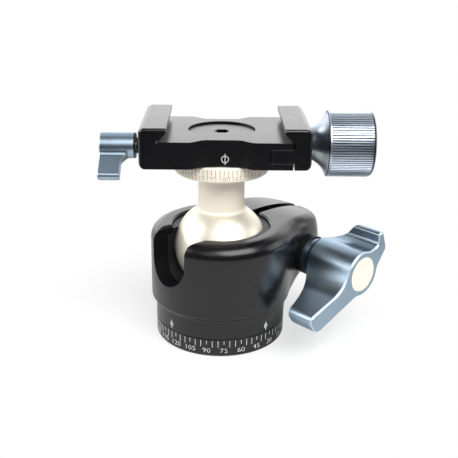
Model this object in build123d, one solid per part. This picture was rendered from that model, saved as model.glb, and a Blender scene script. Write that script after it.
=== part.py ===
from build123d import *
import os
from math import asin, cos, hypot, pi, radians, sin, sqrt

# Low-profile tripod ball head with a panning screw-knob clamp for 38 mm dovetail plates.
# Millimetres. +Z is up and the origin is the centre of the base's underside. The clamp opens along
# +X, and a camera plate slides through it along Y. The housing's lug and lock slit stand in a vertical
# plane at BODY_AZIMUTH to +X, the lock knob's axis is square to it, and the drop notch is opposite the lug.

# ---- Fits ----
RUNNING = 0.05            # radial clearance of a shaft in its bearing
SEAT_CLEARANCE = 0.10     # radial clearance of the ball in its socket
SLIDE_GAP = 0.15          # gap at each sliding flat
THREAD_GAP = 0.05         # radial gap between a simplified thread and its tapped hole
PAN_GAP = 0.25            # seam between two parts that pan on each other

# ---- Graduated base ----
BASE_RADIUS = 20.4
BASE_HEIGHT = 5.7
BASE_EDGE = 0.9           # rounding of the lower rim
SPINDLE_RADIUS = 12.0
SPINDLE_LENGTH = 5.5      # how far the spindle rises above the base
BUSH_RADIUS = 6.6
BUSH_FLANGE = 1.2         # how much wider the bush's lower flange is
BUSH_FLANGE_HEIGHT = 1.5
TRIPOD_TAP_RADIUS = 3.97  # tap drill of a 3/8"-16 thread
BEARING_MARGIN = 1.2      # from the spindle to the pan bearing
BEARING_WIDTH = 3.0
BEARING_DEPTH = 0.4       # how deep the pan bearing sits in the base
RETAINER_OVERLAP = 2.0    # how far the retainer plate reaches past the spindle
RETAINER_THICKNESS = 1.5
RETAINER_SCREWS = 4
RETAINER_SCREW_RADIUS = 1.25
RETAINER_SCREW_LENGTH = 5.0
RETAINER_KEY = 1.5        # hexagon socket of the retainer screws
RETAINER_KEY_DEPTH = 1.1

# ---- Lock grooves turned into spindle and hub, and the pads that press in them ----
GROOVE_DEPTH = 0.7
GROOVE_MOUTH = 1.2        # half width at the surface
GROOVE_BOTTOM = 0.4       # half width at the bottom
PAD_TIP = 0.25            # radius of the nose's tip
PAD_NOSE = 0.9            # radius of the nose where it joins the pad
PAD_LIFT = 0.15           # clearance of the nose's tip above the groove's bottom
PAD_STANDOFF = 0.1        # clearance of the pad's shoulder above the shaft
PAD_LENGTH = 2.2

# ---- Ball and stem ----
BALL_RADIUS = 14.5
BALL_FREE = 1.46          # between the retainer plate and the ball above it
STEM_RADIUS = 7.1
STEM_LENGTH = 24.54       # from the ball's centre to the flange
STEM_FOOT_FILLET = 0.8

# ---- Housing ----
BODY_AZIMUTH = 43.0       # degrees from +X to the lug
SHOULDER_WIDTH = 1.4      # how much wider the barrel is than its foot
FOOT_LENGTH = 5.8         # top of the narrow foot above the base
SHOULDER_LENGTH = 2.0
SHOULDER_STEPS = 4        # sections of the shoulder's curve
RIM_RISE = 7.34           # rim above the ball's centre
RIM_ROUND = 4.0
RIM_CHAMFER = 0.5
MOUTH_GAP = 0.2           # between the liner's neck and the mouth
LIP_DEPTH = 2.6           # thickness of the lip that keeps the liner in
FLOOR_THREAD = 0.55       # how much wider than the socket the thread of the screwed floor is
FLOOR_HEADROOM = 1.2      # from the retainer plate to the top of the floor
FLOOR_POCKET_GAP = 0.5    # round the retainer plate
NOTCH_TURN = 177.0        # degrees from the lug to the drop notch
NOTCH_HALF_WIDTH = 7.6
NOTCH_SINK = 0.35         # centre of the notch's round bottom, below the ball's centre
NOTCH_FLARE = 1.2         # rounding of the notch's upper corners
NOTCH_START = 6.0         # where the notch's cut begins, from the ball's axis
SLIT_WIDTH = 3.4
SLIT_RISE = 1.1           # lower end of the slit above the floor's top

# ---- Lug that the lock bolt pinches ----
BOLT_WALL = 5.1           # between the socket and the lock bolt
LUG_END = 13.0            # from the lock bolt's axis to the lug's end
LUG_HALF_WIDTH = 15.5
LUG_CORNER = 14.5         # plan radius of its two outer corners
LUG_FULL_DROP = 2.66      # below the ball's centre; from here up the lug has its full plan
LUG_FOOT_RISE = 1.8       # where the lug begins, above the base
LUG_FOOT_INSET = 0.9      # how far inside the base's outline it begins
LUG_FOOT_HALF_WIDTH = 11.5
LUG_BLEND = 6.0           # width of the valley between lug and barrel
LUG_STEPS = 3             # sections between the shoulder and the lug's full height
OUTLINE_STEPS = 60        # points round each section
LUG_CROWN_RUN = 19.0      # length over which the top falls away
LUG_CROWN_DROP = 3.2      # how far it has fallen at the end

# ---- Socket inside the housing ----
LINER_WALL = 2.3          # between the ball and the liner's outside, at the ball's widest
LINER_LIP = 0.5           # how much wider than the ball the liner's neck is
LINER_SINK = 1.0          # top of the neck below the rim
SEAT_DROP = 8.86          # top of the ball seat below the ball's centre
SEAT_HOLE = 9.0
SPRING_HEIGHT = 0.7       # height of the disc spring under the seat
SPRING_THICKNESS = 0.3
SPRING_WIDTH = 2.0
LINER_SLIT = 2.8

# ---- Lock knob, bolt and washers ----
LOCK_DROP = 5.56          # bolt axis below the ball's centre
SPOT_DEPTH = 0.3          # of the washer's spot face in the lug's flank
SPOT_GAP = 1.0            # round the washer
LOCK_BOLT_RADIUS = 3.0
LOCK_BOLT_TIP = 11.0      # how far the bolt reaches past the slit
LOCK_TIP_GAP = 1.2        # from the bolt's tip to the end of its tapped hole
LOCK_HEAD_RADIUS = 5.0
LOCK_HEAD_HEIGHT = 5.0
LOCK_WASHER_RADIUS = 6.4
LOCK_WASHER_THICKNESS = 1.9
LOCK_COLLAR_RADIUS = 5.9
LOCK_COLLAR_LENGTH = 2.3
KNOB_SEAM = 0.25          # gap between collar and knob
KNOB_LENGTH = 17.35
KNOB_NECK_RADIUS = 6.8    # hub radius at its inner end
KNOB_NECK_LENGTH = 1.0    # over which the hub widens
KNOB_HUB_RADIUS = 7.2
# each wing is made of hulls of circles: (across, up, radius) from the knob's axis, seen from outside
KNOB_LONG_WING = ((-1.5, -3.5, 3.0), (-21.6, -8.6, 2.0), (-19.6, -9.9, 2.9))
KNOB_SHORT_WING = ((2.2, 1.0, 4.6), (9.2, 6.2, 2.0))
KNOB_SHORT_TIP = ((9.2, 6.2, 2.0), (8.5, 10.4, 1.2))
KNOB_WEB_FILLET = 5.0     # between a wing and the hub
KNOB_WIDE_CORNER = (-6.9, -2.0)
KNOB_WIDE_FILLET = 11.0   # in the corner above the long wing
KNOB_TIP_CORNER = (7.3, 8.0)
KNOB_TIP_FILLET = 2.0     # in the corner beside the short wing's tip
# the wings' curved backs: (distance from the axis, thickness) at their middle and at their end
KNOB_LONG_BACK = ((15.0, 11.5), (26.0, 8.7))
KNOB_SHORT_BACK = ((10.6, 12.5), (15.0, 8.6))
KNOB_EDGE = 0.5           # chamfer round the face
INLAY_RADIUS = 5.5
INLAY_DEPTH = 0.9

# ---- Pan lock at the back of the housing ----
PAN_LOCK_AZIMUTH = 105.0
PAN_LOCK_RISE = 2.8       # axis above the base
PAN_LOCK_SCREW = 1.5
PAN_KNOB_RADIUS = 5.6
PAN_KNOB_LENGTH = 7.5
PAN_KNOB_NECK = 3.0
PAN_KNOB_STANDOFF = 1.05  # between the barrel and the knob's grip
PAN_KNOB_RIDGES = 30
PAN_KNOB_EDGE = 0.6
PAN_SCREW_SEAT = 6.0      # how far the screw reaches into the knob

# ---- Panning scale flange ----
FLANGE_RADIUS = 14.2
FLANGE_THICKNESS = 4.4
HUB_RADIUS = 9.0
PAN_HEAD_OVERLAP = 0.9    # how far the screw's head reaches past the hub
PAN_HEAD_THICKNESS = 1.4
PAN_SCREW_SHANK = 3.0
PAN_SCREW_REACH = 17.0    # engagement below the stem's top
HEX_KEY = 4.0
HEX_DEPTH = 1.0
DISC_SINK = 0.6           # how far the screw's head lies below the clamp's floor
CLAMP_BEARING_MARGIN = 1.2  # from the hub to the bearing, and from the bearing to the flange's edge
CLAMP_BEARING_DEPTH = 0.4
DOWEL_RADIUS = 1.0
DOWEL_LENGTH = 6.0
FLANGE_EDGE = 0.4

# ---- Dovetail clamp ----
CLAMP_LENGTH = 32.4       # along Y
CLAMP_WAIST = 26.3        # width of the pinched middle, along Y
WAIST_START = 5.3         # half length of the straight part of the waist
WAIST_RUN = 3.4           # length of each slope from waist to full width
CLAMP_THICKNESS = 7.87    # from its underside to the channel's floor
JAW_RISE = 3.84           # top of the jaws above the channel's floor
DOVETAIL_WIDTH = 38.3     # between the two undercuts, at the channel's floor
DOVETAIL_DEPTH = 2.5      # both height and width of the 45 degree undercut
DOVETAIL_OFFSET = 1.0     # middle of the channel from the pan axis, towards the moving jaw
FIXED_WALL = 5.45         # fixed jaw, from its undercut to its outer face
JAW_WALL = 5.35           # moving jaw, likewise
JAW_GAP = 0.4             # gap between clamp and moving jaw as stored
JAW_TRAVEL = 5.0
CLAMP_EDGE = 1.9          # rounding round the outer face of each jaw
JAW_END_EDGE = 0.8        # rounding of the jaws' top edges at both ends
WAIST_ROUND = 3.0         # rounding where the waist begins and ends
LEDGE_CHAMFER = 0.4       # along the floor's edge beside the moving jaw
RELIEF_RADIUS = 0.4       # relief groove in the corner of the fixed undercut
RECESS_GAP = 0.1          # round the screw's head in the channel's floor
TONGUE_LENGTH = 6.8
TONGUE_RISE = 2.0         # tongues above the clamp's underside
TONGUE_HEIGHT = 3.85
TONGUE_DEPTH = 3.0        # how far the jaw's tongues reach in from the clamp's ends
GUIDE_PIN_RADIUS = 1.25
GUIDE_PIN_SPREAD = 9.6    # from the screw's axis, along Y
GUIDE_PIN_SEAT = 3.0      # how deep the pins are pressed into the jaw
GUIDE_GRIP = 1.6          # how far they still reach into their holes when the jaw is open
GUIDE_TIP_GAP = 1.05
COIL_RADIUS = 1.75        # of the jaw springs, to the middle of the wire
COIL_WIRE = 0.2           # radius of the wire
COIL_TURNS = 6
SPRING_POCKET = 2.3
SPRING_POCKET_DEPTH = 6.0

# ---- Clamp knob ----
CLAMP_AXIS_RISE = 3.75    # above the clamp's underside
CLAMP_SCREW_RADIUS = 2.5
CLAMP_TAP_WALL = 1.2      # between the hub and the tapped hole's inner end
CLAMP_TIP_GAP = 0.4       # from there to the screw's tip
CLAMP_HEAD_RADIUS = 4.3
CLAMP_HEAD_HEIGHT = 5.0
CLAMP_WASHER_RADIUS = 4.2
CLAMP_WASHER_THICKNESS = 0.5
CLAMP_KNOB_RADIUS = 9.9
CLAMP_KNOB_LENGTH = 19.05
CLAMP_KNOB_NECK = 4.6
CLAMP_KNOB_NECK_LENGTH = 0.2
CLAMP_KNOB_FLARE = 5.4    # where the flared shoulder ends, from the knob's inner end
CLAMP_KNOB_BELL = (6.2, 2.9)  # (radius, place along the knob) of the flare's middle
CLAMP_KNOB_LIP = 0.4      # bevel where the flare ends
CLAMP_KNOB_BAND = 0.5     # smooth band before the knurl
CLAMP_KNOB_EDGE = 1.6     # rounding of the outer end, in flat steps that the knurl runs out on
RIM_STEPS = 4
KNURL_RIDGES = 80
KNURL_DEPTH = 0.35
CAP_RADIUS = 5.2
CAP_THICKNESS = 1.2

# ---- Clamp pan lock, with its single wing ----
CLAMP_LOCK_RISE = 2.65    # axis above the clamp's underside
CLAMP_LOCK_SCREW = 1.5
SPACER_RADIUS = 2.4
SPACER_LENGTH = 1.8
LOCK_RING_RADIUS = 3.8
LOCK_RING_THICKNESS = 0.5
SMALL_KNOB_RADIUS = 3.9
SMALL_KNOB_LENGTH = 10.2
SMALL_COLLAR = 1.7        # length of the round collar before the wings begin
SMALL_LONG_WING = ((0.0, -1.0, 1.7), (9.1, -6.65, 1.3), (7.9, -6.95, 1.5))
SMALL_SHORT_WING = ((0.0, 0.8, 1.6), (-5.7, 0.5, 1.1), (-5.3, 1.1, 1.1))
SMALL_BACK = ((5.0, 7.1), (6.0, 6.4), (13.0, 6.4))  # as for the lock knob, with a straight end
SMALL_KNOB_EDGE = 0.35
SMALL_WEB_FILLET = 1.6
SMALL_SCREW_SEAT = 7.0    # how far the screw reaches into the knob

# ---- Base and pan lock, worked out from the sizes above ----
spindle_top = BASE_HEIGHT + SPINDLE_LENGTH
housing_bottom = BASE_HEIGHT + PAN_GAP
bearing_inner = SPINDLE_RADIUS + BEARING_MARGIN
bearing_outer = bearing_inner + BEARING_WIDTH
retainer_radius = SPINDLE_RADIUS + RETAINER_OVERLAP
retainer_offset = (BUSH_RADIUS + SPINDLE_RADIUS) / 2
retainer_top = spindle_top + RETAINER_THICKNESS
pan_lock_height = BASE_HEIGHT + PAN_LOCK_RISE
pan_knob_low = BASE_RADIUS + PAN_GAP

# ---- Ball and socket ----
ball_height = retainer_top + BALL_FREE + BALL_RADIUS
socket_sphere = BALL_RADIUS + SEAT_CLEARANCE
liner_radius = BALL_RADIUS + LINER_WALL
liner_neck = BALL_RADIUS + LINER_LIP
socket_radius = liner_radius + SEAT_CLEARANCE
mouth_radius = liner_neck + MOUTH_GAP
rim_height = ball_height + RIM_RISE
lip_low = rim_height - LIP_DEPTH
liner_top = rim_height - LINER_SINK
liner_shoulder = lip_low - SEAT_CLEARANCE
floor_top = retainer_top + FLOOR_HEADROOM
floor_web_top = spindle_top - RUNNING
floor_radius = socket_radius + FLOOR_THREAD
floor_pocket = retainer_radius + FLOOR_POCKET_GAP
seat_low = floor_top + SPRING_HEIGHT
seat_top = ball_height - SEAT_DROP
liner_low = seat_top + RUNNING
spring_outer = liner_radius - SEAT_CLEARANCE
spring_inner = spring_outer - SPRING_WIDTH

# ---- Outside of the housing ----
body_radius = BASE_RADIUS + SHOULDER_WIDTH
foot_top = BASE_HEIGHT + FOOT_LENGTH
shoulder_top = foot_top + SHOULDER_LENGTH
notch_azimuth = BODY_AZIMUTH + NOTCH_TURN
slit_low = floor_top + SLIT_RISE
lock_offset = socket_radius + BOLT_WALL + LOCK_BOLT_RADIUS
lock_height = ball_height - LOCK_DROP
lug_reach = lock_offset + LUG_END
lug_full = ball_height - LUG_FULL_DROP
lug_foot = BASE_HEIGHT + LUG_FOOT_RISE
lug_foot_reach = BASE_RADIUS - LUG_FOOT_INSET
crown_start = lug_reach - LUG_CROWN_RUN
pan_grip_low = body_radius + PAN_KNOB_STANDOFF
pan_knob_face = pan_grip_low + PAN_KNOB_LENGTH

# ---- Along the lock bolt, from the slit's middle plane ----
spot_face = LUG_HALF_WIDTH - SPOT_DEPTH
spot_radius = LOCK_WASHER_RADIUS + SPOT_GAP
lock_blind_end = LOCK_BOLT_TIP + LOCK_TIP_GAP
washer_face = spot_face + LOCK_WASHER_THICKNESS
collar_face = washer_face + LOCK_COLLAR_LENGTH
knob_back = collar_face + KNOB_SEAM
knob_face = knob_back + KNOB_LENGTH
inlay_low = knob_face - INLAY_DEPTH
lock_head_low = inlay_low - LOCK_HEAD_HEIGHT - RUNNING

# ---- Flange and clamp ----
stem_top = ball_height + STEM_LENGTH
flange_top = stem_top + FLANGE_THICKNESS
dowel_offset = (PAN_SCREW_SHANK + STEM_RADIUS) / 2
clamp_bottom = flange_top + PAN_GAP
clamp_floor = clamp_bottom + CLAMP_THICKNESS
jaw_top = clamp_floor + JAW_RISE
ledge_height = clamp_floor - DISC_SINK - PAN_HEAD_THICKNESS
hub_top = ledge_height + RUNNING
pan_head_radius = HUB_RADIUS + PAN_HEAD_OVERLAP
clamp_recess = pan_head_radius + RECESS_GAP
clamp_bearing_inner = HUB_RADIUS + CLAMP_BEARING_MARGIN
clamp_bearing_outer = FLANGE_RADIUS - CLAMP_BEARING_MARGIN
tongue_low = clamp_bottom + TONGUE_RISE
tongue_high = tongue_low + TONGUE_HEIGHT

# ---- Along X, from the pan axis ----
fixed_undercut = DOVETAIL_OFFSET - DOVETAIL_WIDTH / 2
fixed_outer = fixed_undercut - FIXED_WALL
moving_undercut = fixed_undercut + DOVETAIL_WIDTH
jaw_face = moving_undercut + JAW_GAP
jaw_outer = moving_undercut + JAW_WALL
pocket_end = moving_undercut - SPRING_POCKET_DEPTH
guide_pin_end = jaw_face + GUIDE_PIN_SEAT
guide_pin_tip = pocket_end - JAW_TRAVEL - GUIDE_GRIP
guide_hole_end = guide_pin_tip - GUIDE_TIP_GAP
clamp_tap_end = HUB_RADIUS + CLAMP_TAP_WALL
clamp_screw_tip = clamp_tap_end + CLAMP_TIP_GAP
clamp_knob_low = jaw_outer + CLAMP_WASHER_THICKNESS
clamp_knob_end = clamp_knob_low + CLAMP_KNOB_LENGTH
clamp_cap_low = clamp_knob_end - CAP_THICKNESS
clamp_head_low = clamp_cap_low - CLAMP_HEAD_HEIGHT - RUNNING
spacer_end = SPACER_LENGTH - fixed_outer
lock_ring_low = spacer_end + KNOB_SEAM
small_knob_low = lock_ring_low + LOCK_RING_THICKNESS
small_knob_face = small_knob_low + SMALL_KNOB_LENGTH
clamp_axis_height = clamp_bottom + CLAMP_AXIS_RISE
clamp_lock_height = clamp_bottom + CLAMP_LOCK_RISE


def along(azimuth, radius, height):
    """The point at a radius from the Z axis, in the direction of an azimuth."""
    return (radius * cos(radians(azimuth)), radius * sin(radians(azimuth)), height)


lug_direction = along(BODY_AZIMUTH, 1, 0)
lock_direction = along(BODY_AZIMUTH - 90, 1, 0)
lock_foot = along(BODY_AZIMUTH, lock_offset, lock_height)
# local X runs towards the lug, local Y up and local Z out along the lock bolt
lock_plane = Plane(origin=lock_foot, x_dir=lug_direction, z_dir=lock_direction)
# local X runs across the notch, local Y up and local Z out of it
notch_plane = Plane(
    origin=(0, 0, ball_height), x_dir=along(notch_azimuth + 90, 1, 0), z_dir=along(notch_azimuth, 1, 0)
)
pan_lock_plane = Plane(
    origin=(0, 0, pan_lock_height),
    x_dir=along(PAN_LOCK_AZIMUTH + 90, 1, 0),
    z_dir=along(PAN_LOCK_AZIMUTH, 1, 0),
)
clamp_screw_plane = Plane(origin=(0, 0, clamp_axis_height), x_dir=(0, 1, 0), z_dir=(1, 0, 0))
clamp_lock_plane = Plane(origin=(0, 0, clamp_lock_height), x_dir=(0, -1, 0), z_dir=(-1, 0, 0))


# ---- Shapes used by many pieces ----
def rod(radius, low, high):
    """A round bar about Z from one height to another."""
    bar = Cylinder(radius, high - low, align=(Align.CENTER, Align.CENTER, Align.MIN))
    return Pos(0, 0, low) * bar


def tube(outer, inner, low, high):
    """A round tube about Z."""
    return rod(outer, low, high) - rod(inner, low, high)


def turned(*outline):
    """A body of revolution about Z from its (radius, height) outline."""
    return revolve(Plane.XZ * make_face(Polyline(*outline, close=True)), Axis.Z)


def slab(x_low, x_high, y_low, y_high, z_low, z_high):
    """A rectangular block given by its limits."""
    block = Box(
        x_high - x_low, y_high - y_low, z_high - z_low,
        align=(Align.MIN, Align.MIN, Align.MIN),
    )
    return Pos(x_low, y_low, z_low) * block


def ball(radius):
    """A sphere about the ball's centre."""
    return Pos(0, 0, ball_height) * Sphere(radius)


def wing(circles):
    """The plan of a knob's wing: the hull of circles given as (across, up, radius)."""
    rings = [Pos(across, up) * Circle(radius) for across, up, radius in circles]
    return make_hull([edge for ring in rings for edge in ring.edges()])


def winged_plan(hub, *wings):
    """The plan of a winged knob: a round hub and its wings."""
    plan = Circle(hub)
    for circles in wings:
        plan += wing(circles)
    return plan


def web_corners(plan, hub):
    """The inner corners of a winged knob's plan, where its wings meet the hub."""
    return ShapeList(
        point for point in plan.vertices() if abs(hypot(point.X, point.Y) - hub) < RUNNING
    )


def knurled(radius, depth, ridges, low, high):
    """A knurled cylinder about Z, with straight ridges and a V groove between them."""
    points = []
    for ridge in range(ridges):
        for share, reach in ((0.0, radius), (0.5, radius), (0.75, radius - depth)):
            turn = 2 * pi * (ridge + share) / ridges
            points.append((reach * cos(turn), reach * sin(turn)))
    plan = make_face(Polyline(*points, close=True))
    return Pos(0, 0, low) * extrude(plan, high - low)


def hex_socket(across, top, depth):
    """Cutter for a hexagon socket that opens at the top."""
    return Pos(0, 0, top - depth) * extrude(RegularPolygon(across / 2, 6, major_radius=False), depth)


def lock_groove(shaft_radius, height):
    """Cutter for a V groove round a shaft."""
    slope = (GROOVE_MOUTH - GROOVE_BOTTOM) / GROOVE_DEPTH
    low, high = shaft_radius - GROOVE_DEPTH, shaft_radius + GROOVE_DEPTH
    wide = GROOVE_MOUTH + slope * GROOVE_DEPTH
    return turned(
        (low, height - GROOVE_BOTTOM), (high, height - wide), (high, height + wide),
        (low, height + GROOVE_BOTTOM),
    )


def lock_pad(shaft_radius, pad_radius):
    """A brass pad about Z, whose nose reaches into the groove of a shaft across its axis."""
    tip = shaft_radius - GROOVE_DEPTH + PAD_LIFT
    shoulder = shaft_radius + PAD_STANDOFF
    end = shoulder + PAD_LENGTH
    return turned((0, tip), (PAD_TIP, tip), (PAD_NOSE, shoulder), (pad_radius, shoulder),
                  (pad_radius, end), (0, end))


def pad_end(shaft_radius):
    """Where a lock pad ends and its screw begins, from the shaft's axis."""
    return shaft_radius + PAD_STANDOFF + PAD_LENGTH


# ---- Graduated base ----
def retainer_places():
    """The places of the retainer's screws, round the spindle."""
    return PolarLocations(retainer_offset, RETAINER_SCREWS, start_angle=BODY_AZIMUTH)


def make_base_ring():
    disc = rod(BASE_RADIUS, 0, BASE_HEIGHT)
    disc = fillet(disc.edges().group_by(Axis.Z)[0], BASE_EDGE)
    ring = disc + rod(SPINDLE_RADIUS, BASE_HEIGHT, spindle_top)
    ring -= tube(bearing_outer, bearing_inner, BASE_HEIGHT - BEARING_DEPTH, BASE_HEIGHT)
    ring -= rod(BUSH_RADIUS, 0, spindle_top)
    ring -= rod(BUSH_RADIUS + BUSH_FLANGE, 0, BUSH_FLANGE_HEIGHT)
    ring -= lock_groove(SPINDLE_RADIUS, pan_lock_height)
    for place in retainer_places():
        tapped = rod(RETAINER_SCREW_RADIUS, spindle_top - RETAINER_SCREW_LENGTH, spindle_top)
        ring -= place * tapped
    return ring


def make_thread_bush():
    bush = rod(BUSH_RADIUS, 0, spindle_top) + rod(BUSH_RADIUS + BUSH_FLANGE, 0, BUSH_FLANGE_HEIGHT)
    return bush - rod(TRIPOD_TAP_RADIUS, 0, spindle_top)


def make_pan_bearing():
    return tube(bearing_outer, bearing_inner, BASE_HEIGHT - BEARING_DEPTH, housing_bottom)


def make_retainer_plate():
    plate = rod(retainer_radius, spindle_top, retainer_top)
    for place in retainer_places():
        plate -= place * countersunk_screw(RETAINER_SCREW_RADIUS + RUNNING)
    return plate


def countersunk_screw(shank):
    """A countersunk screw whose head is flush with the retainer plate."""
    tip = spindle_top - RETAINER_SCREW_LENGTH
    return turned(
        (0, tip), (shank, tip), (shank, retainer_top - shank), (2 * shank, retainer_top), (0, retainer_top)
    )


def make_retainer_screws():
    screw = countersunk_screw(RETAINER_SCREW_RADIUS)
    screw -= hex_socket(RETAINER_KEY, retainer_top, RETAINER_KEY_DEPTH)
    return Compound(children=[place * screw for place in retainer_places()])


# ---- Housing ----
def lug_plan(height):
    """Reach and half width of the lug at a height."""
    rise = (height - lug_foot) / (lug_full - lug_foot)
    share = sin(min(max(rise, 0), 1) * pi / 2)
    reach = lug_foot_reach + (lug_reach - lug_foot_reach) * share
    half = LUG_FOOT_HALF_WIDTH + (LUG_HALF_WIDTH - LUG_FOOT_HALF_WIDTH) * share
    return reach, half


def lug_radius(turn, reach, half):
    """Distance from the ball's axis to the lug's outline, at a turn from the lug's middle."""
    corner = min(LUG_CORNER, half)
    side, end = half - corner, reach - corner
    c, s = cos(turn), abs(sin(turn))
    if c <= 0:
        return half
    if half * c <= end * s:
        return half / s
    if reach * s <= side * c:
        return reach / c
    across = end * s - side * c
    return end * c + side * s + sqrt(corner**2 - across**2)


def barrel_radius(height):
    """Radius of the barrel: a narrow foot, a short curved shoulder and the full body."""
    rise = min(max((height - foot_top) / SHOULDER_LENGTH, 0), 1)
    return BASE_RADIUS + SHOULDER_WIDTH * (1 - cos(pi * rise)) / 2


def housing_section(height):
    """Horizontal outline of barrel and lug, with a soft valley between them."""
    reach, half = lug_plan(height)
    barrel = barrel_radius(height)
    points = []
    for step in range(OUTLINE_STEPS):
        turn = 2 * pi * step / OUTLINE_STEPS
        lobe = lug_radius(turn, reach, half)
        mix = min(max(0.5 + 0.5 * (lobe - barrel) / LUG_BLEND, 0), 1)
        radius = barrel + (lobe - barrel) * mix + LUG_BLEND * mix * (1 - mix)
        points.append((radius * cos(turn), radius * sin(turn)))
    return Pos(0, 0, height) * Rot(0, 0, BODY_AZIMUTH) * make_face(Spline(*points, periodic=True))


def notch_cutter():
    """The drop notch: a round-bottomed slot through the wall, with rounded upper corners."""
    half = NOTCH_HALF_WIDTH
    rim = RIM_RISE
    bend = rim - NOTCH_FLARE
    wide = half + NOTCH_FLARE
    above = rim + NOTCH_FLARE
    lean = NOTCH_FLARE * (1 - sqrt(0.5))
    outline = make_face(
        [
            Line((-half, -NOTCH_SINK), (-half, bend)),
            ThreePointArc((-half, bend), (-half - lean, rim - lean), (-wide, rim)),
            Line((-wide, rim), (-wide, above)),
            Line((-wide, above), (wide, above)),
            Line((wide, above), (wide, rim)),
            ThreePointArc((wide, rim), (half + lean, rim - lean), (half, bend)),
            Line((half, bend), (half, -NOTCH_SINK)),
            ThreePointArc((half, -NOTCH_SINK), (0, -NOTCH_SINK - half), (-half, -NOTCH_SINK)),
        ]
    )
    return notch_plane * Pos(0, 0, NOTCH_START) * extrude(outline, body_radius)


def slit_cutter(width, low):
    """The plane slit in the lug, from the ball's axis outwards."""
    block = slab(0, lug_reach + width, -width / 2, width / 2, low, rim_height + width)
    return Rot(0, 0, BODY_AZIMUTH) * block


def crown_cutter():
    """Everything above the rim's plane and the lug's falling crown."""
    run = lug_reach - crown_start
    crown = (run**2 + LUG_CROWN_DROP**2) / (2 * LUG_CROWN_DROP)
    centre = rim_height - crown
    half_turn = asin(run / crown) / 2
    middle = (crown_start + crown * sin(half_turn), centre + crown * cos(half_turn))
    end = (lug_reach, rim_height - LUG_CROWN_DROP)
    far = lug_reach + LUG_CORNER
    high = rim_height + LUG_CORNER
    low = end[1] - (far - lug_reach) * run / (crown - LUG_CROWN_DROP)
    outline = make_face(
        [
            Line((-far, rim_height), (crown_start, rim_height)),
            ThreePointArc((crown_start, rim_height), middle, end),
            Line(end, (far, low)),
            Line((far, low), (far, high)),
            Line((far, high), (-far, high)),
            Line((-far, high), (-far, rim_height)),
        ]
    )
    return Rot(0, 0, BODY_AZIMUTH) * extrude(Plane.XZ * outline, far, both=True)


def housing_blank():
    """The solid outer form of the housing, with its top edge rounded."""
    rise = (lug_full - shoulder_top) / LUG_STEPS
    foot = [housing_bottom, lug_foot, foot_top]
    shoulder = [foot_top + SHOULDER_LENGTH * step / SHOULDER_STEPS for step in range(SHOULDER_STEPS + 1)]
    body = [shoulder_top + rise * step for step in range(LUG_STEPS + 1)] + [rim_height + RIM_ROUND]
    blank = loft([housing_section(height) for height in foot])
    blank += loft([housing_section(height) for height in shoulder])
    blank += loft([housing_section(height) for height in body])
    blank -= crown_cutter()
    crown_low = rim_height - LUG_CROWN_DROP - RUNNING
    top = [
        edge
        for edge in blank.edges()
        if edge.bounding_box().min.Z > crown_low and edge.geom_type != GeomType.LINE
    ]
    return fillet(top, RIM_ROUND)


def pan_lock_hole():
    """Cutter for the tapped hole through the housing and its floor."""
    return pan_lock_plane * rod(PAN_LOCK_SCREW + THREAD_GAP, SPINDLE_RADIUS, pan_grip_low)


def make_housing():
    housing = housing_blank()
    housing -= rod(floor_radius, housing_bottom, floor_top)
    housing -= rod(socket_radius, floor_top, lip_low)
    mouth_edge = rim_height - RIM_CHAMFER
    housing -= turned(
        (0, lip_low), (mouth_radius, lip_low), (mouth_radius, mouth_edge),
        (mouth_radius + 2 * RIM_CHAMFER, rim_height + RIM_CHAMFER), (0, rim_height + RIM_CHAMFER),
    )
    housing -= notch_cutter()
    housing -= slit_cutter(SLIT_WIDTH, slit_low)
    housing -= lock_plane * rod(spot_radius, spot_face, knob_back)
    housing -= lock_plane * rod(LOCK_BOLT_RADIUS + THREAD_GAP, -lock_blind_end, spot_face)
    return housing - pan_lock_hole()


def make_housing_floor():
    inner, outer = SPINDLE_RADIUS + RUNNING, floor_radius - THREAD_GAP
    ring = turned(
        (inner, housing_bottom), (outer, housing_bottom), (outer, floor_top), (floor_pocket, floor_top),
        (floor_pocket, floor_web_top), (inner, floor_web_top),
    )
    return ring - pan_lock_hole()


def make_seat_spring():
    upper, lower = seat_low - SPRING_THICKNESS, floor_top + SPRING_THICKNESS
    return turned(
        (spring_outer, floor_top), (spring_outer, lower), (spring_inner, seat_low), (spring_inner, upper)
    )


def make_ball_seat():
    seat = tube(liner_radius, SEAT_HOLE, seat_low, seat_top)
    return seat - ball(socket_sphere)


def make_socket_liner():
    liner = rod(liner_radius, liner_low, liner_shoulder) + rod(liner_neck, liner_shoulder, liner_top)
    liner -= ball(socket_sphere)
    liner -= notch_cutter()
    return liner - slit_cutter(LINER_SLIT, liner_low)


# ---- Lock knob, bolt and washers ----
def make_lock_washer():
    return lock_plane * tube(LOCK_WASHER_RADIUS, LOCK_BOLT_RADIUS + RUNNING, spot_face, washer_face)


def make_lock_collar():
    return lock_plane * tube(LOCK_COLLAR_RADIUS, LOCK_BOLT_RADIUS + RUNNING, washer_face, collar_face)


def wing_form(hub, start, back, face):
    """Turned form about Z that shapes the back of a knob's wings, from (radius, thickness) points.

    The back curves through the first two points and runs straight to any others.
    """
    middle, end, *rest = [(radius, face - thickness) for radius, thickness in back]
    rim = (back[-1][0], face)
    outline = make_face(
        [
            Line((0, start), (hub, start)),
            ThreePointArc((hub, start), middle, end),
            Polyline(end, *rest, rim, (0, face), (0, start)),
        ]
    )
    return revolve(Plane.XZ * outline, Axis.Z)


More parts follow.
